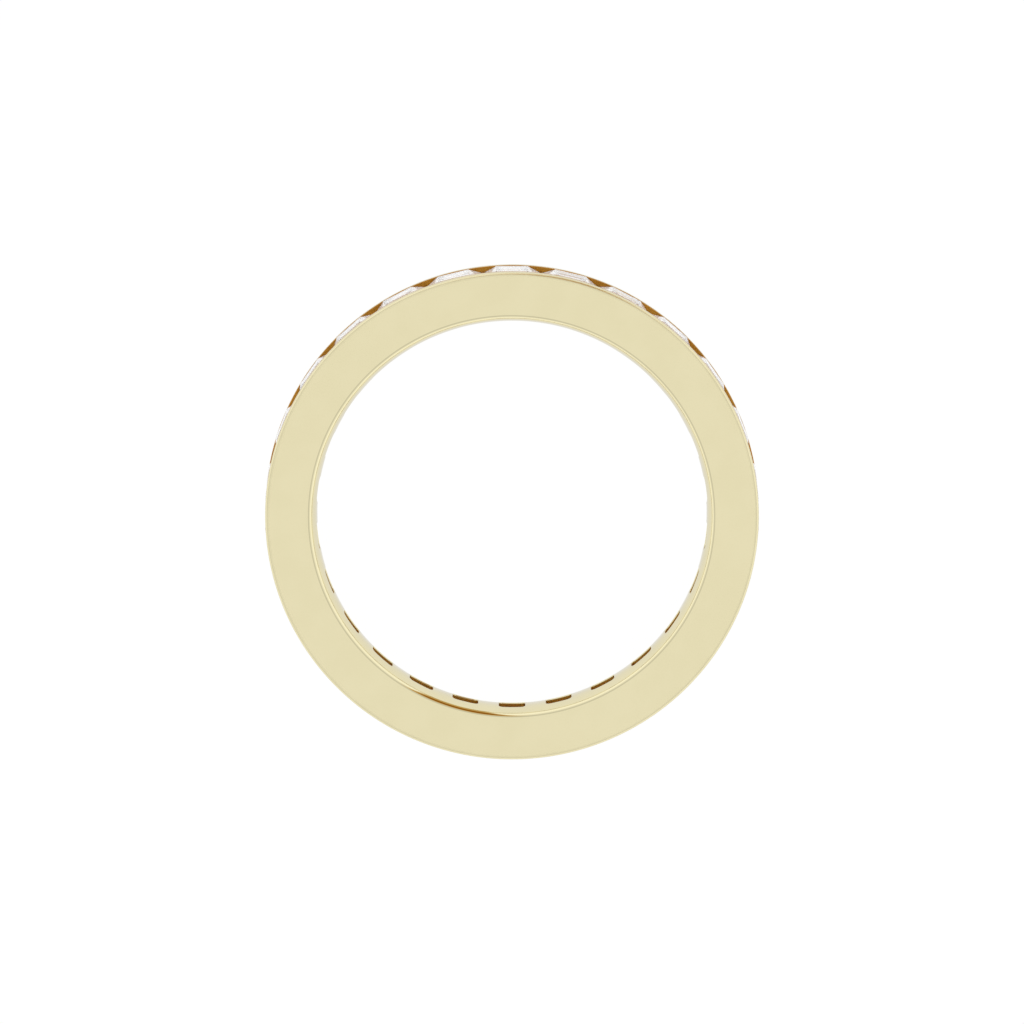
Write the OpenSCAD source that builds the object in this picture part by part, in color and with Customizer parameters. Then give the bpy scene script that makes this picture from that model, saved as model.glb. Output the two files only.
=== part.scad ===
// Eternity band: a gold ring whose channel holds a full circle of rectangular step-cut stones.
// The ring lies on its side. Its axis is Z, and its lower face is at Z = 0.

/* [Ring] */
// inside diameter at the crest of the bore
bore_d = 17.35; // [16:0.05:20]
// radial thickness of the metal, from the crest of the bore to the top of the rails
wall_t = 2.325; // [2.3:0.005:2.6]
// width of the band along the finger
band_w = 2.5; // [2.4:0.05:3.2]
// rounding of the outer edges
outer_edge_r = 0.17; // [0.1:0.01:0.25]

/* [Comfort-fit bore] */
// straight width at the crest of the bore
crest_w = 0.12; // [0.08:0.02:0.3]
// how far the bore opens out radially from its crest to its faces
bore_flare = 0.27; // [0.2:0.01:0.35]
// rounding where the bore meets a face
bore_edge_r = 0.27; // [0.2:0.01:0.3]

/* [Stones] */
// number of stones round the ring
stone_count = 26; // [24:1:28]
// width of a stone across the band
stone_w = 1.8; // [1.75:0.01:1.85]
// length of the table along the ring
table_l = 1.38; // [1.1:0.02:1.6]
// width of the table across the band
table_w = 1.28; // [1.0:0.02:1.36]
// height of the crown, from the girdle to the table
crown_h = 0.33; // [0.3:0.01:0.42]
// thickness of the girdle
girdle_h = 0.05; // [0.03:0.01:0.08]
// depth of the pavilion, from the girdle to the keel
pavilion_h = 0.74; // [0.6:0.01:0.8]
// length of the keel along the ring
keel_l = 0.8; // [0.6:0.05:1]
// width of the keel across the band
keel_w = 0.12; // [0.08:0.02:0.3]
// gap between neighbouring stones at the girdle
stone_gap = 0.1; // [0.05:0.01:0.12]

/* [Channel] */
// opening between the two rails
channel_w = 1.64; // [1.6:0.01:1.7]
// bevel along the inner top edge of each rail
rail_bevel = 0.03; // [0.01:0.005:0.05]
// clearance between a stone and its seat in the metal
seat_gap = 0.03; // [0.02:0.005:0.05]

/* [Windows] */
// size of each window in the bore along the ring
window_l = 1.17; // [0.9:0.01:1.3]
// size of each window across the band
window_w = 1.12; // [0.8:0.02:1.2]
// corner radius of each window
window_corner_r = 0.18; // [0.1:0.01:0.3]

/* [Hidden] */
$fn = 128;
overcut = 1;
mid_z = band_w / 2;
bore_r = bore_d / 2;
outer_r = bore_r + wall_t;

// Radii of the stone's levels, from the table down to the keel
table_r = outer_r;
girdle_top_r = table_r - crown_h;
girdle_low_r = girdle_top_r - girdle_h;
keel_r = girdle_low_r - pavilion_h;

// The pavilion has two steps, and the upper one takes this share of its depth and of its inset
step_depth_share = 0.5;
step_inset_share = 0.36;
step_r = girdle_low_r - pavilion_h * step_depth_share;
pitch_angle = 360 / stone_count;
stone_l = 2 * girdle_low_r * tan(pitch_angle / 2) - stone_gap;

// The bore's arcs touch the straight crest and pass through its mouth at the faces
mouth_run = (band_w - crest_w) / 2;
comfort_r = (mouth_run * mouth_run + bore_flare * bore_flare) / (2 * bore_flare);
comfort_x = bore_r + comfort_r;
// The rounding of the mouth touches both the comfort arc and a face
bore_edge_drop = mouth_run - bore_edge_r;
bore_edge_x = comfort_x - sqrt(pow(comfort_r - bore_edge_r, 2) - pow(bore_edge_drop, 2));
bore_edge_angle = asin(bore_edge_drop / (comfort_r - bore_edge_r));

// The groove holds the girdle, which a straight stone lifts by this much at its ends
girdle_lift = sqrt(pow(girdle_top_r, 2) + pow(stone_l / 2, 2)) - girdle_top_r;
groove_top_r = girdle_top_r + girdle_lift + seat_gap;
groove_low_r = girdle_low_r - seat_gap;
groove_w = stone_w + 2 * seat_gap;
lip_r = groove_top_r + (groove_w - channel_w) / 2;

// stone_01, stone_02 and so on
function stone_name(i) = str("stone_", i < 10 ? "0" : "", i);

// Direction of a stone from the ring's centre: the first at +Y, the rest clockwise from above
function stone_angle(i) = 90 - (i - 1) * pitch_angle;

// Width or length of the pavilion at its step, between its girdle size and its keel size
function step_size(girdle_size, keel_size) = girdle_size - (girdle_size - keel_size) * step_inset_share;

// Outline of a stone seen along one of its two directions, with the ring's radius as Y
function stone_outline(table, girdle, keel) = [
    [table / 2, table_r],
    [girdle / 2, girdle_top_r],
    [girdle / 2, girdle_low_r],
    [step_size(girdle, keel) / 2, step_r],
    [keel / 2, keel_r],
    [-keel / 2, keel_r],
    [-step_size(girdle, keel) / 2, step_r],
    [-girdle / 2, girdle_low_r],
    [-girdle / 2, girdle_top_r],
    [-table / 2, table_r]
];

// Half of the channel's cross-section, with the ring's radius as X and the distance from the middle as Y
function channel_side() = [
    [outer_r + overcut, channel_w / 2 + rail_bevel],
    [outer_r, channel_w / 2 + rail_bevel],
    [outer_r - rail_bevel, channel_w / 2],
    [lip_r, channel_w / 2],
    [groove_top_r, groove_w / 2],
    [groove_low_r, groove_w / 2],
    [step_r - seat_gap, step_size(stone_w, keel_w) / 2 + seat_gap],
    [keel_r - seat_gap, keel_w / 2 + seat_gap]
];

// Everything outside the comfort-fit curve: its two arcs, the straight crest between them and the rest
module comfort_section() {
    for (side = [-1, 1])
        translate([comfort_x, mid_z + side * crest_w / 2]) circle(r = comfort_r);
    translate([bore_r, mid_z - crest_w / 2]) square([wall_t, crest_w]);
    translate([comfort_x, -overcut]) square([wall_t, band_w + 2 * overcut]);
}

// Waste outside a rounding of radius r whose centre is the origin, between -Y and a turn of sweep degrees
module corner_waste(r, sweep) {
    ray = [sin(sweep), -cos(sweep)] * overcut;
    down = [0, -overcut];
    difference() {
        polygon([[0, 0], down, down + ray, ray]);
        circle(r = r);
    }
}

// The two roundings at one face of the band, which lies at Y = 0
module face_waste() {
    translate([outer_r - outer_edge_r, outer_edge_r]) corner_waste(outer_edge_r, 90);
    translate([bore_edge_x, bore_edge_r]) corner_waste(bore_edge_r, bore_edge_angle - 90);
}

// Cross-section of the band before its channel is cut
module band_section() {
    difference() {
        intersection() {
            translate([bore_r, 0]) square([wall_t, band_w]);
            comfort_section();
        }
        face_waste();
        translate([0, band_w]) mirror([0, 1]) face_waste();
    }
}

// Space between the rails, with the groove for the girdles and the trough for the pavilions
module channel_cut() {
    side = channel_side();
    last = len(side) - 1;
    mirrored = [for (i = [0 : last]) [side[last - i].x, -side[last - i].y]];
    rotate_extrude() translate([0, mid_z]) polygon(concat(side, mirrored));
}

// One window, from the bore to the trough under the stone at +X
module window_cut() {
    straight_l = window_l - 2 * window_corner_r;
    straight_w = window_w - 2 * window_corner_r;
    translate([0, 0, mid_z]) rotate([0, 90, 0]) translate([0, 0, bore_r - overcut])
        linear_extrude(step_r - bore_r + overcut) {
            square([straight_w, window_l], center = true);
            square([window_w, straight_l], center = true);
            for (x = [-1, 1], y = [-1, 1])
                translate([x * straight_w / 2, y * straight_l / 2]) circle(r = window_corner_r);
        }
}

// The gold ring
module band() {
    color([0.90, 0.86, 0.71]) difference() {
        rotate_extrude() band_section();
        channel_cut();
        for (i = [1 : stone_count]) rotate([0, 0, stone_angle(i)]) window_cut();
    }
}

// One step-cut stone, where its outlines along and across the ring meet
module stone(i) {
    color([0.97, 0.97, 0.98]) rotate([0, 0, stone_angle(i) - 90]) translate([0, 0, mid_z]) intersection() {
        linear_extrude(band_w, center = true) polygon(stone_outline(table_l, stone_l, keel_l));
        rotate([0, -90, 0]) linear_extrude(2 * stone_l, center = true)
            polygon(stone_outline(table_w, stone_w, keel_w));
    }
}

band();
for (i = [1 : stone_count])
    stone(i);
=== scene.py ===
import math

import bpy
import numpy as np
from mathutils import Matrix, Vector


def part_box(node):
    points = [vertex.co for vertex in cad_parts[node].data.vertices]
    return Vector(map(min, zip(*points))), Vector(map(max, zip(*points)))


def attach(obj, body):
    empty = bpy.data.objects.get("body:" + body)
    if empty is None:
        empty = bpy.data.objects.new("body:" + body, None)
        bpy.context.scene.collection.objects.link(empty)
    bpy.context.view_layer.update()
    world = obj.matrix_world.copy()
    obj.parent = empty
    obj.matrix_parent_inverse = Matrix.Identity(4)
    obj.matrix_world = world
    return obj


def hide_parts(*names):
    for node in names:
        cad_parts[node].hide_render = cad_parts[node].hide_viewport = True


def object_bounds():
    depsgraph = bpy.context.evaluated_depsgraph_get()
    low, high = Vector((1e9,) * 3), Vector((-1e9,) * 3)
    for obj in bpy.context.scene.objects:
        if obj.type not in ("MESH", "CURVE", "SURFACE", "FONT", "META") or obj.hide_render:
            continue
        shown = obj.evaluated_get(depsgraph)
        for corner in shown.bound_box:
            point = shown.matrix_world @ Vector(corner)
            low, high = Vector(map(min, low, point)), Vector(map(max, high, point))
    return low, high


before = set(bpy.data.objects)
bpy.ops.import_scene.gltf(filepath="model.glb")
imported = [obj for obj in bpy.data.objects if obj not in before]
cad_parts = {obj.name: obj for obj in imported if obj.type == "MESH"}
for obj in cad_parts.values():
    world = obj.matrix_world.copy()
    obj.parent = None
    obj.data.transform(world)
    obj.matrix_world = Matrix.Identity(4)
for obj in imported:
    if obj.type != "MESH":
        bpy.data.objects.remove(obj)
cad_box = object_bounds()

# Camera
# The photograph looks down the ring's axis, tipped a little towards the stone at the top of the picture.
# A long lens stands far off, because near and far edges of the ring have the same size in the photograph.
ring_height = cad_box[1].z
camera_tilt = math.radians(9.3)
view_width = 0.04567
lens_mm = 1000
sensor_mm = 36
camera_distance = view_width * lens_mm / sensor_mm
clip_ratio = 10
light_bounces = 48
camera_right = Vector((1, 0, 0))
camera_up = Vector((0, math.cos(camera_tilt), -math.sin(camera_tilt)))
camera_back = Vector((0, math.sin(camera_tilt), math.cos(camera_tilt)))
camera_data = bpy.data.cameras.new("camera")
camera_data.lens = lens_mm
camera_data.sensor_width = sensor_mm
camera_data.clip_start = camera_distance / clip_ratio
camera_data.clip_end = camera_distance * clip_ratio
camera = bpy.data.objects.new("camera", camera_data)
camera.matrix_world = Matrix.Translation(
    Vector((0, 0, ring_height / 2)) + camera_back * camera_distance
) @ Matrix((camera_right, camera_up, camera_back)).transposed().to_4x4()
scene = bpy.context.scene
scene.collection.objects.link(camera)
scene.camera = camera
scene.view_settings.view_transform = "Standard"
scene.view_settings.look = "None"
scene.cycles.max_bounces = light_bounces
scene.cycles.glossy_bounces = light_bounces
scene.cycles.transmission_bounces = light_bounces

# Floor
# The ring lies on a plain white table, which is lit so evenly that the photograph shows no edge or shadow.
# The table is matt, and most of its whiteness is light of its own.
floor_half = 1.5
table_colour = (0.05, 0.05, 0.05, 1)
table_roughness = 0.9
table_light = 0.97
floor_mesh = bpy.data.meshes.new("floor")
floor_corners = [(x * floor_half, y * floor_half, 0) for x, y in ((-1, -1), (1, -1), (1, 1), (-1, 1))]
floor_mesh.from_pydata(floor_corners, [], [(0, 1, 2, 3)])
floor = bpy.data.objects.new("floor", floor_mesh)
scene.collection.objects.link(floor)
floor_material = bpy.data.materials.new("white table")
floor_material.use_nodes = True
floor_shader = floor_material.node_tree.nodes["Principled BSDF"]
floor_shader.inputs["Base Color"].default_value = table_colour
floor_shader.inputs["Roughness"].default_value = table_roughness
floor_shader.inputs["Specular IOR Level"].default_value = 0.0
floor_shader.inputs["Emission Color"].default_value = (1, 1, 1, 1)
floor_shader.inputs["Emission Strength"].default_value = table_light
floor_mesh.materials.append(floor_material)


# Light
# A white cloth tent stands all round the ring, because polished metal mirrors whatever is near it. The tent
# leans a little, is brightest in a belt above the table and dimmest round its top. A warm brown card stands
# behind the ring.
class Socket:
    """A value in a material, or only the place to start one. Python's operators on it add Math nodes."""

    def __init__(self, tree, link=None):
        self.tree = tree
        self.link = link

    def node(self, kind, settings=None, inputs=None, output=0):
        """Adds a node: first its settings, then the values or links of its sockets."""
        made = self.tree.nodes.new(kind)
        for name, value in (settings or {}).items():
            if name == "stops":
                fill_ramp(made.color_ramp, value)
            else:
                setattr(made, name, value)
        fill(made, inputs or {})
        return Socket(self.tree, made.outputs[output])

    def output(self, name):
        """Another output of the node that this value comes from."""
        return Socket(self.tree, self.link.node.outputs[name])

    def maths(self, operation, second=0.0):
        """This value put through a Math node, alone or with a second one."""
        return self.node("ShaderNodeMath", {"operation": operation}, {0: self, 1: second})

    def along(self, line):
        """How far this vector reaches along another one."""
        inputs = {0: self, 1: line}
        return self.node("ShaderNodeVectorMath", {"operation": "DOT_PRODUCT"}, inputs, "Value")

    def __add__(self, other):
        return self.maths("ADD", other)

    def __radd__(self, other):
        return self.maths("ADD", other)

    def __sub__(self, other):
        return self.maths("SUBTRACT", other)

    def __rsub__(self, other):
        return self.node("ShaderNodeMath", {"operation": "SUBTRACT"}, {0: other, 1: self})

    def __mul__(self, other):
        return self.maths("MULTIPLY", other)

    def __rmul__(self, other):
        return self.maths("MULTIPLY", other)


def fill(node, inputs):
    """Fills a node's sockets from values or from links."""
    for name, value in inputs.items():
        if isinstance(value, Socket):
            node.id_data.links.new(value.link, node.inputs[name])
        else:
            node.inputs[name].default_value = value


def fill_ramp(ramp, stops):
    """Gives a colour ramp its stops, each a place from 0 to 1 and a colour, and soft steps between them."""
    ramp.interpolation = "EASE"
    ramp.elements.remove(ramp.elements[1])
    for number, (place, colour) in enumerate(stops):
        stop = ramp.elements.new(place) if number else ramp.elements[0]
        stop.color = colour


def direction(azimuth, elevation):
    """A direction seen from the ring, in degrees from +X and above the table."""
    azimuth, elevation = math.radians(azimuth), math.radians(elevation)
    level = math.cos(elevation)
    return Vector((level * math.cos(azimuth), level * math.sin(azimuth), math.sin(elevation)))


def mixed(factor, first, second):
    """A colour that goes from the first to the second as the factor rises."""
    return factor.node("ShaderNodeMix", {"data_type": "RGBA"}, {0: factor, 6: first, 7: second}, 2)


def between(value, low, high):
    """Rises smoothly from 0 to 1 as the value goes from low to high."""
    inputs = {"Value": value, "From Min": low, "From Max": high}
    return value.node("ShaderNodeMapRange", {"interpolation_type": "SMOOTHSTEP"}, inputs)


tent_top = direction(azimuth=230, elevation=78)
belt_brightness = 1.25
# Angle from the tent's top in degrees, and brightness there
tent_rings = ((0, 1.0), (12, 1.0), (28, 0.7), (45, 0.93), (53, 1.06), (72, 1.25), (90, 1.11), (105, 1.0))
# The card's sides, top and foot fade between two distances, as shares of the tent's radius
card_azimuth = 71.5
card_front = 0.1
card_half_width, card_soft_width = 0.145, 0.245
card_top, card_soft_top = 0.7, 0.95
card_foot, card_soft_foot = 0.2, 0.6
card_foot_share = 0.3
card_colour = (0.25, 0.09, 0.0, 1)
card_glow_colour = (0.65, 0.47, 0.2, 1)
card_glow_full = 0.3
world = bpy.data.worlds.new("white tent")
scene.world = world
world.use_nodes = True
seen = Socket(world.node_tree).node("ShaderNodeTexCoord", output="Generated")
from_top = seen.along(tent_top).maths("ARCCOSINE")
stops = [(angle / 180, (brightness / belt_brightness,) * 3 + (1,)) for angle, brightness in tent_rings]
rings = from_top.node("ShaderNodeValToRGB", {"stops": stops}, {"Fac": from_top * (1 / math.pi)})
towards_card = seen.along(direction(card_azimuth, 0))
from_card_middle = seen.along(direction(card_azimuth + 90, 0)).maths("ABSOLUTE")
above_table = seen.along((0, 0, 1))
card_mask = between(towards_card, 0, card_front)
card_mask = card_mask * (1 - between(from_card_middle, card_half_width, card_soft_width))
card_mask = card_mask * (1 - between(above_table, card_top, card_soft_top))
over_foot = between(above_table, card_foot, card_soft_foot)
card_mask = card_mask * (card_foot_share + (1 - card_foot_share) * over_foot)
# The card's soft edges look golden, like gold that mirrors gold
tent_colour = mixed(between(card_mask, 0, card_glow_full), rings, card_glow_colour)
tent = world.node_tree.nodes["Background"]
fill(tent, {"Color": mixed(card_mask, tent_colour, card_colour), "Strength": belt_brightness})

# Band
# The ring's one piece of pale yellow gold, cast or milled with its channel, comfort-fit bore and windows.
# Its outside and its bore are polished on felt wheels. The channel, the stones' seats and the windows stay
# as they were cut and are rougher. Their deeper, browner colour is painted shade for these recesses.
mm = 0.001
stone_count = sum(name.startswith("stone_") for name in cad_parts)
half_pitch = math.pi / stone_count
half_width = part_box("band")[1].z / 2
outer_r = 11 * mm
outer_edge_r = 0.12 * mm
bore_r = 8.675 * mm
crest_half = 0.06 * mm
bore_flare = 0.27 * mm
bore_edge_r = 0.27 * mm
rail_half = 0.82 * mm
rail_edge_r = 0.03 * mm
shade_line_half = 0.93 * mm
lip_r = 10.8 * mm
groove_half = 0.93 * mm
groove_top_r = 10.772 * mm
groove_low_r = 10.59 * mm
step_r = 10.22 * mm
step_half = 0.6276 * mm
keel_r = 9.85 * mm
keel_half = 0.09 * mm
window_half_l = 0.585 * mm
window_half_w = 0.54 * mm
window_corner_r = 0.18 * mm
window_rim_r = 0.055 * mm

# The bore is two shallow arcs that meet at a narrow crest, and a rounding joins each arc to a side face
mouth_run = half_width - crest_half
comfort_r = (mouth_run**2 + bore_flare**2) / (2 * bore_flare)
comfort_x = bore_r + comfort_r
bore_edge_z = half_width - bore_edge_r
bore_edge_turn = math.asin((bore_edge_z - crest_half) / (comfort_r - bore_edge_r))
bore_edge_x = comfort_x - (comfort_r - bore_edge_r) * math.cos(bore_edge_turn)
arc_end_z = crest_half + comfort_r * math.sin(bore_edge_turn)


def shares(steps):
    """Evenly spaced values from 0 to 1."""
    return [step / steps for step in range(steps + 1)]


# A profile point is its distance from the ring's axis, its height above the ring's middle, and the two
# parts of its normal
def rounding(centre_r, centre_z, radius, first, last, steps):
    """Points on an arc, from the first turn to the last."""
    turns = [first + (last - first) * share for share in shares(steps)]
    normals = [(math.cos(turn), math.sin(turn)) for turn in turns]
    return [(centre_r + radius * cos, centre_z + radius * sin, cos, sin) for cos, sin in normals]


def straight(first, last):
    """Both ends of a straight stretch, with the metal on the right on the way from first to last."""
    run_r, run_z = last[0] - first[0], last[1] - first[1]
    length = math.hypot(run_r, run_z)
    return [(*end, -run_z / length, run_r / length) for end in (first, last)]


def bore_point(z):
    """Point on the comfort-fit bore, on its crest or on one of its arcs."""
    rise = max(z - crest_half, 0) / comfort_r
    level = math.sqrt(1 - rise**2)
    return comfort_x - comfort_r * level, z, -level, rise


def trough_point(z):
    """Point on the slope that a stone's pavilion lies over, or on the flat under its keel."""
    _, _, normal_r, normal_z = straight((step_r, step_half), (keel_r, keel_half))[0]
    return keel_r + max(z - keel_half, 0) * -normal_z / normal_r, z, normal_r, normal_z


# A quarter of one stone's stretch of the band is meshed, then mirrored and turned. A column of its grid is
# a distance along the window, and how far on the way from there to the joint between two stones.
def corner(column, point):
    """Place and normal where a column meets a profile point."""
    along, share = column
    radius, z, normal_r, normal_z = point
    turn = (1 - share) * math.asin(along / radius) + share * half_pitch
    cos, sin = math.cos(turn), math.sin(turn)
    return np.array(((radius * cos, radius * sin, z), (normal_r * cos, normal_r * sin, normal_z)))


# How finely each stretch is meshed, and the heights of two rows between a window's corner and the keel
side_steps, corner_steps, bar_steps = 4, 6, 4
arc_steps, edge_steps, small_edge_steps = 6, 8, 3
upper_row_z, lower_row_z = 0.28 * mm, 0.18 * mm

# Points round a quarter of the window: along it, across it, and the direction away from it
corner_l, corner_w = window_half_l - window_corner_r, window_half_w - window_corner_r
slope_heights = [corner_w, upper_row_z, lower_row_z, keel_half]
flat_heights = [keel_half, crest_half, 0]
end_heights = slope_heights + flat_heights[1:]
side_edge = [(corner_l * share, window_half_w, 0, 1) for share in shares(side_steps)]
side_edge += rounding(corner_l, corner_w, window_corner_r, math.pi / 2, 0, corner_steps)[1:]
window_edge = side_edge + [(window_half_l, z, 1, 0) for z in end_heights[1:]]
bar_shares = shares(bar_steps)
bar_columns = [(window_half_l + window_rim_r, share) for share in bar_shares]
columns = [(along + window_rim_r * away, 0) for along, _, away, _ in side_edge] + bar_columns[1:]
trough_bars = [(window_half_l, share) for share in bar_shares]
trough_columns = [(along, 0) for along, _, _, _ in side_edge] + trough_bars[1:]
trough_heights = [z for _, z, _, _ in side_edge] + [corner_w] * bar_steps
first_heights = [across + window_rim_r * away for _, across, _, away in side_edge] + [corner_w] * bar_steps
quarter, quarter_finish = [], []
# The three cut finishes are rougher, and their browner colours are painted shade in the channel, seats and
# windows
POLISHED, CUT_SHADED, BRIGHT_CUT_SHADED, SAWN_SHADED = 0, 1, 2, 3


def add_grid(rows, finish):
    """Adds the four-sided faces between rows of corners to the quarter."""
    for low, high in zip(rows, rows[1:]):
        for at in range(len(low) - 1):
            quarter.append((low[at], low[at + 1], high[at + 1], high[at]))
            quarter_finish.append(finish)


def add_swept(profile, finish):
    """Adds a profile that runs round the ring past the window and the bar beside it."""
    add_grid([[corner(column, point) for column in columns] for point in profile], finish)


def rim_corner(edge, turn):
    """A corner on the small rounding between the bore and a window's wall, at a turn away from the bore."""
    along, across, away_y, away_z = edge
    out = window_rim_r * (1 - math.sin(turn))
    place, normal = corner((along + out * away_y, 0), bore_point(across + out * away_z))
    up = np.array((window_rim_r * (1 - math.cos(turn)), 0, 0))
    return np.array((place + up, math.cos(turn) * normal - math.sin(turn) * np.array((0, away_y, away_z))))


def wall_end(edge):
    """The corner where a window's wall comes out in the trough."""
    along, across, away_y, away_z = edge
    return np.array((corner((along, 0), trough_point(across))[0], (0, -away_y, -away_z)))


# The bore, from the windows to the rounding at the face
arc_rows = []
for share in shares(arc_steps):
    heights = [z + (arc_end_z - z) * share for z in first_heights]
    arc_rows.append([corner(column, bore_point(z)) for column, z in zip(columns, heights)])
add_grid(arc_rows, POLISHED)
add_grid([[corner(column, bore_point(z)) for column in bar_columns] for z in end_heights], POLISHED)
rim_turns = [math.pi / 2 * share for share in shares(small_edge_steps)]
add_grid([[rim_corner(edge, turn) for edge in window_edge] for turn in rim_turns], POLISHED)
bore_edge_start = math.pi - bore_edge_turn
add_swept(
    rounding(bore_edge_x, bore_edge_z, bore_edge_r, bore_edge_start, math.pi / 2, edge_steps), POLISHED
)
# The side face, the outer edge and the top of the rail, which is burnished over the stones. A narrow strip
# along the rail's inner edge gets the channel's brown as a painted shade line.
outer_edge_x, outer_edge_z = outer_r - outer_edge_r, half_width - outer_edge_r
add_swept(straight((bore_edge_x, half_width), (outer_edge_x, half_width)), POLISHED)
add_swept(rounding(outer_edge_x, outer_edge_z, outer_edge_r, math.pi / 2, 0, edge_steps), POLISHED)
add_swept(straight((outer_r, outer_edge_z), (outer_r, shade_line_half)), POLISHED)
# The strip next to the stones: a painted shade line in the channel's brown
add_swept(straight((outer_r, shade_line_half), (outer_r, rail_half + rail_edge_r)), CUT_SHADED)
# The channel's wall, the groove for the girdles and the slope below it
rail_edge_x, rail_edge_z = outer_r - rail_edge_r, rail_half + rail_edge_r
add_swept(rounding(rail_edge_x, rail_edge_z, rail_edge_r, 0, -math.pi / 2, small_edge_steps), CUT_SHADED)
add_swept(straight((rail_edge_x, rail_half), (lip_r, rail_half)), CUT_SHADED)
add_swept(straight((lip_r, rail_half), (groove_top_r, groove_half)), BRIGHT_CUT_SHADED)
add_swept(straight((groove_top_r, groove_half), (groove_low_r, groove_half)), BRIGHT_CUT_SHADED)
add_swept(straight((groove_low_r, groove_half), (step_r, step_half)), CUT_SHADED)
# The window's walls, and the trough round the window
wall_start = [rim_corner(edge, math.pi / 2) for edge in window_edge]
add_grid([wall_start, [wall_end(edge) for edge in window_edge]], SAWN_SHADED)
trough_rows = [
    [corner(column, trough_point(z)) for column, z in zip(trough_columns, trough_heights)],
    [corner(column, trough_point(step_half)) for column in columns],
]
add_grid(trough_rows, CUT_SHADED)
add_grid([[corner(column, trough_point(z)) for column in trough_bars] for z in slope_heights], CUT_SHADED)
add_grid([[corner(column, (keel_r, z, 1, 0)) for column in trough_bars] for z in flat_heights], CUT_SHADED)

quarters = []
for number in range(stone_count):
    turn = math.pi / 2 - number * 2 * half_pitch
    cos, sin = math.cos(turn), math.sin(turn)
    for side_y, side_z in ((1, 1), (-1, 1), (-1, -1), (1, -1)):
        turned = np.array(((cos, -sin * side_y, 0), (sin, cos * side_y, 0), (0, 0, side_z)))
        quarters.append(np.array(quarter) @ turned.T)
whole = np.concatenate(quarters)
faces_out = np.cross(whole[:, 2, 0] - whole[:, 0, 0], whole[:, 3, 0] - whole[:, 1, 0])
turned_in = (faces_out * whole[:, :, 1].sum(axis=1)).sum(axis=1) < 0
whole[turned_in] = whole[turned_in, ::-1]
places = (whole[:, :, 0] + (0, 0, half_width)).reshape(-1, 3)
# Corners at the same place, to a ten-thousandth of a millimetre, are one point
place_digits = 4
rounded = np.round(places / mm, place_digits) + 0.0
points, point_numbers = np.unique(rounded, axis=0, return_inverse=True)
band_mesh = bpy.data.meshes.new("gold_band")
band_mesh.from_pydata((points * mm).tolist(), [], point_numbers.reshape(-1, 4).tolist())
band_mesh.polygons.foreach_set("material_index", quarter_finish * len(quarters))
band_mesh.normals_split_custom_set(whole[:, :, 1].reshape(-1, 3).tolist())
band = bpy.data.objects.new("gold_band", band_mesh)
scene.collection.objects.link(band)
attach(band, "root")
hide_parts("band")


def place_in_mm(tree):
    """A point's place on its object, in millimetres."""
    place = Socket(tree).node("ShaderNodeTexCoord", output="Object")
    return place.node("ShaderNodeVectorMath", {"operation": "SCALE"}, {0: place, "Scale": 1 / mm})


def noise(place, scale, detail):
    """Cloudy values, mostly from 0.3 to 0.7."""
    return place.node("ShaderNodeTexNoise", None, {"Vector": place, "Scale": scale, "Detail": detail})


def worn_edge(radius_mm):
    """Rises from 0 to 1 just before the outer edges, which rub against other things."""
    edge_start = (outer_r - outer_edge_r) / mm
    return between(radius_mm, edge_start - worn_margin, edge_start)


def gold(name, colour, deeper_colour, roughness, rougher, line_depth):
    """Gold with fine lines that run round the ring, and with cloudy changes of colour and gloss."""
    material = bpy.data.materials.new(name)
    material.use_nodes = True
    place = place_in_mm(material.node_tree)
    height = place.node("ShaderNodeSeparateXYZ", None, {0: place}, "Z")
    level = place.node("ShaderNodeVectorMath", {"operation": "MULTIPLY"}, {0: place, 1: (1, 1, 0)})
    radius = level.node("ShaderNodeVectorMath", {"operation": "LENGTH"}, {0: level}, "Value")
    lines_at = level.node("ShaderNodeCombineXYZ", None, {"Z": (radius + height) * lines_per_mm})
    around = level.node("ShaderNodeVectorMath", {"operation": "ADD"}, {0: level, 1: lines_at})
    lines = noise(around, 1.0, line_detail)
    clouds = between(noise(place, cloud_scale, cloud_detail), cloud_low, cloud_high)
    uneven = cloud_share * clouds + (1 - cloud_share) * lines
    gloss = roughness + (rougher - roughness) * uneven + worn_roughness * worn_edge(radius)
    bump = lines.node("ShaderNodeBump", None, {"Height": lines, "Distance": line_depth, "Strength": 1.0})
    looks = {
        "Base Color": mixed(clouds, colour, deeper_colour),
        "Metallic": 1.0,
        "Roughness": gloss,
        "Specular Tint": grazing_tint,
        "Normal": bump,
    }
    fill(material.node_tree.nodes["Principled BSDF"], looks)
    return material


grazing_tint = (0.87, 0.87, 0.9, 1)
worn_margin, worn_roughness = 0.1, 0.25
lines_per_mm, line_detail = 20, 3.0
cloud_scale, cloud_detail = 0.7, 4.0
cloud_low, cloud_high = 0.35, 0.65
cloud_share = 0.6
polished_gold = gold(
    "polished pale gold",
    colour=(0.789, 0.722, 0.468, 1),
    deeper_colour=(0.777, 0.71, 0.456, 1),
    roughness=0.04,
    rougher=0.09,
    line_depth=0.0002 * mm,
)
# The channel and trough: rough gold, with a deep brown colour that is painted shade for the recess
cut_gold_shaded = gold(
    "gold as cut, painted shade",
    colour=(0.54, 0.27, 0.042, 1),
    deeper_colour=(0.49, 0.235, 0.034, 1),
    roughness=0.3,
    rougher=0.45,
    line_depth=0.002 * mm,
)
# The girdles' groove: smoother gold, with an orange colour that is painted shade, lighter than the
# channel's
seat_gold = gold(
    "bright-cut gold, painted shade",
    colour=(0.92, 0.6, 0.2, 1),
    deeper_colour=(0.87, 0.55, 0.17, 1),
    roughness=0.2,
    rougher=0.35,
    line_depth=0.001 * mm,
)
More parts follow.
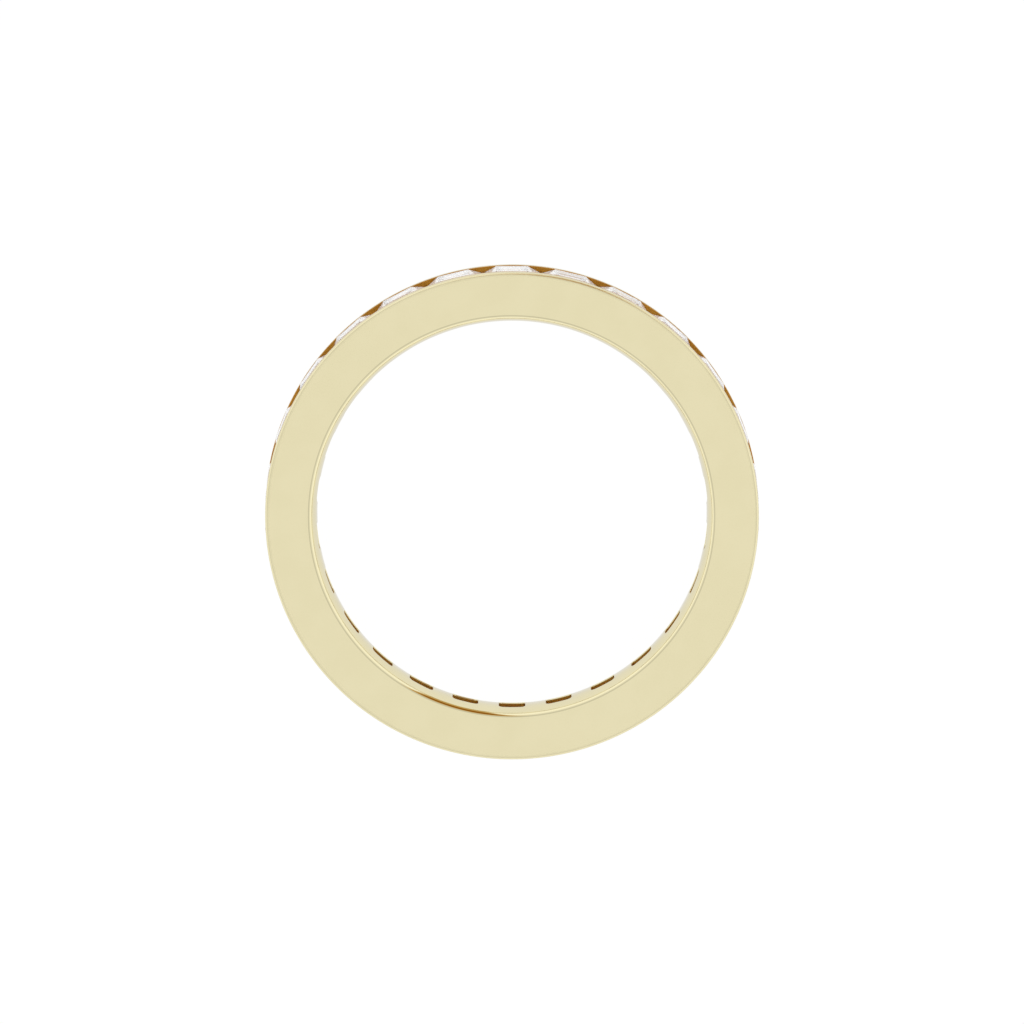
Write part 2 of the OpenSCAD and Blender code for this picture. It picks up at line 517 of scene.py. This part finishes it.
# The window walls: rough gold, with a brown colour that is painted shade inside the windows
window_gold = gold(
    "sawn gold, painted shade",
    colour=(0.71, 0.435, 0.085, 1),
    deeper_colour=(0.65, 0.385, 0.07, 1),
    roughness=0.3,
    rougher=0.45,
    line_depth=0.002 * mm,
)
# In the order of the finishes: polished, as cut, bright-cut and sawn, the last three with painted shade
for finish in (polished_gold, cut_gold_shaded, seat_gold, window_gold):
    band_mesh.materials.append(finish)

# Stones
# Each is a colourless step-cut stone, held end to end in the channel by its girdle. It is ground flat and
# polished, with its girdle left matt. The pavilion, under the girdle, throws light back like a mirror.
stone_ior = 2.42
table_mm = 11.0
girdle_top_mm = 10.67
girdle_low_mm = 10.62
level_step_mm = 0.005
clear_tint, flaw_tint = (1, 1, 1, 1), (0.96, 0.97, 0.98, 1)
flaw_scale, flaw_detail = 2.5, 3.0
flaw_low, flaw_high = 0.5, 0.75
polish_scale, polish_detail = 30.0, 2.0
polish_roughness = 0.01
girdle_roughness = 0.3
flash_roughness = 0.2
flash_ior = 1.3
facet_height_mm = 0.11
facet_edge = 0.5
flash_least, flash_on_facet_edges, flash_near_girdle = 0.5, 0.1, 0.35
near_girdle_mm = 0.2
clear_stone = bpy.data.materials.new("clear stone")
clear_stone.use_nodes = True
stone_tree = clear_stone.node_tree
stone_shader = stone_tree.nodes["Principled BSDF"]
place = place_in_mm(stone_tree)
stone_x = place.node("ShaderNodeSeparateXYZ", None, {0: place}, "X")
stone_y = stone_x.output("Y")
# Height of a point in its own stone, as the distance of its level from the ring's axis
turns = stone_x.maths("ARCTAN2", stone_y) * (0.5 / half_pitch) + 0.5
from_middle = (turns.maths("FRACT") - 0.5) * (2 * half_pitch)
from_axis = (stone_x * stone_x + stone_y * stone_y).maths("SQRT")
level_mm = from_axis * from_middle.maths("COSINE")
over_pavilion = between(level_mm, girdle_low_mm - 2 * level_step_mm, girdle_low_mm - level_step_mm)
over_girdle = between(level_mm, girdle_top_mm, girdle_top_mm + level_step_mm)
on_table = between(level_mm, table_mm - 2 * level_step_mm, table_mm - level_step_mm)
flaws = between(noise(place, flaw_scale, flaw_detail), flaw_low, flaw_high)
polish = noise(place, polish_scale, polish_detail)
matt_girdle = girdle_roughness * over_pavilion * (1 - over_girdle)
stone_looks = {
    "Base Color": mixed(flaws, clear_tint, flaw_tint),
    "Metallic": 1 - over_pavilion,
    "Roughness": matt_girdle + polish_roughness * polish,
    "IOR": stone_ior,
    "Transmission Weight": 1.0,
}
fill(stone_shader, stone_looks)
# The sloping crown facets and the ground girdle get a white matt layer: a painted highlight for the light
# the stone gathers, strongest in bands along the facet edges and near the girdle. Light from inside passes
# them.
flash_looks = {"Base Color": (1, 1, 1, 1), "Roughness": flash_roughness, "IOR": flash_ior}
flash = place.node("ShaderNodeBsdfPrincipled", None, flash_looks)
bands = (level_mm * (2 * math.pi / facet_height_mm)).maths("SINE")
near_girdle = 1 - between(level_mm, girdle_top_mm, girdle_top_mm + near_girdle_mm)
from_inside = place.node("ShaderNodeNewGeometry", output="Backfacing")
flash_strength = (
    flash_least
    + flash_on_facet_edges * between(bands, -facet_edge, facet_edge)
    + flash_near_girdle * near_girdle
)
flash_share = over_pavilion * (1 - on_table) * flash_strength * (1 - from_inside)
clear = Socket(stone_tree, stone_shader.outputs[0])
surface = place.node("ShaderNodeMixShader", None, {0: flash_share, 1: clear, 2: flash})
fill(stone_tree.nodes["Material Output"], {"Surface": surface})
for name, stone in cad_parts.items():
    if name.startswith("stone_"):
        stone.data.materials.clear()
        stone.data.materials.append(clear_stone)
